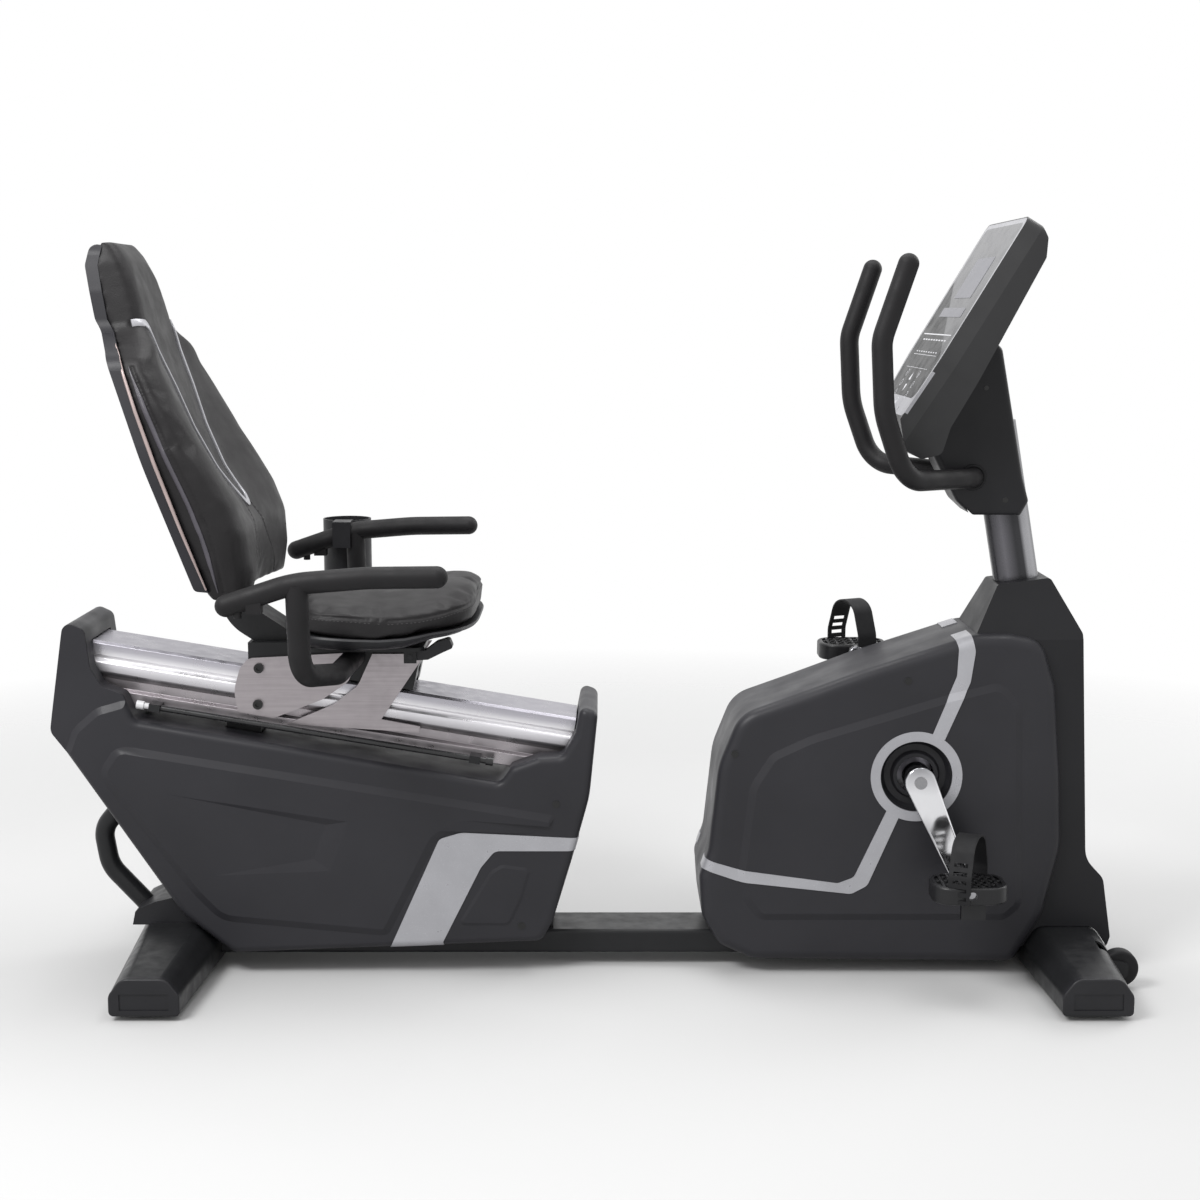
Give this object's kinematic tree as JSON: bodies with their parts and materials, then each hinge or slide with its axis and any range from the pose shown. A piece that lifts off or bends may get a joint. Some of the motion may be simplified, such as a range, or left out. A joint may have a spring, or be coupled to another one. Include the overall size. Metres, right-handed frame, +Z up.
{
  "type": "recumbent exercise bike",
  "caption": "Recumbent exercise bike: padded seat and high backrest sliding on a sloping rail, pedals with straps, belt-driven flywheel, mast, handlebar and console.",
  "frame": {"origin": "on the floor, on the centre plane, half way along the machine", "axes": "+X the way the rider faces, +Y to the rider's left, +Z up"},
  "size_m": [1.751, 0.819, 1.2221],
  "materials": {
    "casing_plastic": "fine moulded texture, satin charcoal",
    "cast_iron": "turned rim",
    "chrome": "polished",
    "console_glass": "glossy dark window",
    "console_plastic": "satin dark grey",
    "cover_plastic": "fine moulded texture, near black",
    "frame_paint": "satin charcoal powder coat",
    "grip_foam": "matte soft grip",
    "mast_paint": "satin metallic dark grey paint",
    "pedal_plastic": "textured black",
    "plate_metal": "satin champagne silver",
    "rail_aluminium": "brushed and clear anodised",
    "rubber": "matte black",
    "steel": "machined",
    "trim_silver": "satin silver paint",
    "vinyl": "grained upholstery vinyl"
  },
  "bodies": {
    "frame": {"brake_motor": "cover_plastic", "casing_screws": "steel", "console_bezel": "trim_silver", "console_housing_front": "console_plastic", "console_housing_rear": "console_plastic", "console_panel": "console_glass", "crank_bearings": "steel", "crank_surrounds": "cover_plastic", "drive_belt": "rubber", "front_casing_left": "casing_plastic", "front_casing_right": "casing_plastic", "front_casing_strip": "casing_plastic", "front_casing_trims": "trim_silver", "front_frame": "frame_paint", "front_stabiliser": "frame_paint", "handlebar": "grip_foam", "lock_rod": "chrome", "main_beam": "frame_paint", "mast": "mast_paint", "mast_shroud": "casing_plastic", "neck_cover_front": "casing_plastic", "neck_cover_rear": "casing_plastic", "rail_posts": "frame_paint", "rear_casing_left": "casing_plastic", "rear_casing_right": "casing_plastic", "rear_casing_trims": "trim_silver", "rear_foot_cover": "cover_plastic", "rear_stabiliser": "frame_paint", "seat_rail": "rail_aluminium", "stabiliser_end_caps": "cover_plastic"},
    "carriage": {"armrest_left": "grip_foam", "armrest_right": "grip_foam", "backrest_cushion": "vinyl", "backrest_frame": "frame_paint", "backrest_shell": "casing_plastic", "backrest_trim": "trim_silver", "bottle_holder": "cover_plastic", "carriage_bolts": "steel", "carriage_frame": "frame_paint", "carriage_plates": "plate_metal", "seat_cushion": "vinyl"},
    "brake_magnets": {"brake_magnets": "steel"},
    "roller_front": {"carriage_roller_front": "pedal_plastic"},
    "roller_rear": {"carriage_roller_rear": "pedal_plastic"},
    "crank": {"crank_axle": "steel", "crank_left": "chrome", "crank_right": "chrome", "drive_pulley": "rail_aluminium"},
    "flywheel": {"flywheel": "cast_iron"},
    "foot_front_left": {"levelling_foot_front_left": "rubber"},
    "foot_front_right": {"levelling_foot_front_right": "rubber"},
    "foot_rear_left": {"levelling_foot_rear_left": "rubber"},
    "foot_rear_right": {"levelling_foot_rear_right": "rubber"},
    "pedal_left": {"pedal_left": "pedal_plastic", "pedal_strap_left": "rubber"},
    "pedal_right": {"pedal_right": "pedal_plastic", "pedal_strap_right": "rubber"},
    "seat_lever": {"seat_lever": "cover_plastic"},
    "transport_wheel_left": {"transport_wheel_left": "rubber"},
    "transport_wheel_right": {"transport_wheel_right": "rubber"}
  },
  "joints": [
    {"name": "seat_slide", "type": "slide", "parent": "frame", "child": "carriage", "axis": [0.9866, 0, -0.1633], "range_m": [-0.16, 0.18]},
    {"name": "roller_rear_spin", "type": "hinge", "parent": "carriage", "child": "roller_rear", "pos_m": [-0.53234, 0, 0.52141], "axis": [0, 1, 0], "continuous": true},
    {"name": "roller_front_spin", "type": "hinge", "parent": "carriage", "child": "roller_front", "pos_m": [-0.3074, 0, 0.48417], "axis": [0, 1, 0], "continuous": true},
    {"name": "seat_lever_pull", "type": "hinge", "parent": "carriage", "child": "seat_lever", "pos_m": [-0.29, 0, 0.537], "axis": [0, 1, 0], "range_deg": [0, 15], "stiffness_Nm_per_rad": 1.5, "springref_deg": -17.19},
    {"name": "crank_spin", "type": "hinge", "parent": "frame", "child": "crank", "pos_m": [0.522, 0, 0.336], "axis": [0, 1, 0], "continuous": true},
    {"name": "pedal_right_spin", "type": "hinge", "parent": "crank", "child": "pedal_right", "pos_m": [0.59, 0, 0.18], "axis": [0, 1, 0], "continuous": true},
    {"name": "pedal_left_spin", "type": "hinge", "parent": "crank", "child": "pedal_left", "pos_m": [0.454, 0, 0.492], "axis": [0, 1, 0], "continuous": true},
    {"name": "flywheel_spin", "type": "hinge", "parent": "frame", "child": "flywheel", "pos_m": [0.345, 0, 0.29], "axis": [0, 1, 0], "continuous": true},
    {"name": "brake_swing", "type": "hinge", "parent": "frame", "child": "brake_magnets", "pos_m": [0.451, 0, 0.15], "axis": [0, -1, 0], "range_deg": [0, 8]},
    {"name": "transport_wheel_right_spin", "type": "hinge", "parent": "frame", "child": "transport_wheel_right", "pos_m": [0.845, -0.162, 0.036], "axis": [0, 1, 0], "continuous": true},
    {"name": "transport_wheel_left_spin", "type": "hinge", "parent": "frame", "child": "transport_wheel_left", "pos_m": [0.845, 0.162, 0.036], "axis": [0, 1, 0], "continuous": true},
    {"name": "foot_rear_right_screw", "type": "slide", "parent": "frame", "child": "foot_rear_right", "axis": [0, 0, 1], "range_m": [-0.012, 0]},
    {"name": "foot_rear_left_screw", "type": "slide", "parent": "frame", "child": "foot_rear_left", "axis": [0, 0, 1], "range_m": [-0.012, 0]},
    {"name": "foot_front_right_screw", "type": "slide", "parent": "frame", "child": "foot_front_right", "axis": [0, 0, 1], "range_m": [-0.012, 0]},
    {"name": "foot_front_left_screw", "type": "slide", "parent": "frame", "child": "foot_front_left", "axis": [0, 0, 1], "range_m": [-0.012, 0]}
  ],
  "couplings": [
    {"joint": "roller_rear_spin", "follows": "seat_slide", "rad_per_m": 61.35},
    {"joint": "roller_front_spin", "follows": "seat_slide", "rad_per_m": 61.35},
    {"joint": "flywheel_spin", "follows": "crank_spin", "ratio": 5.6}
  ]
}
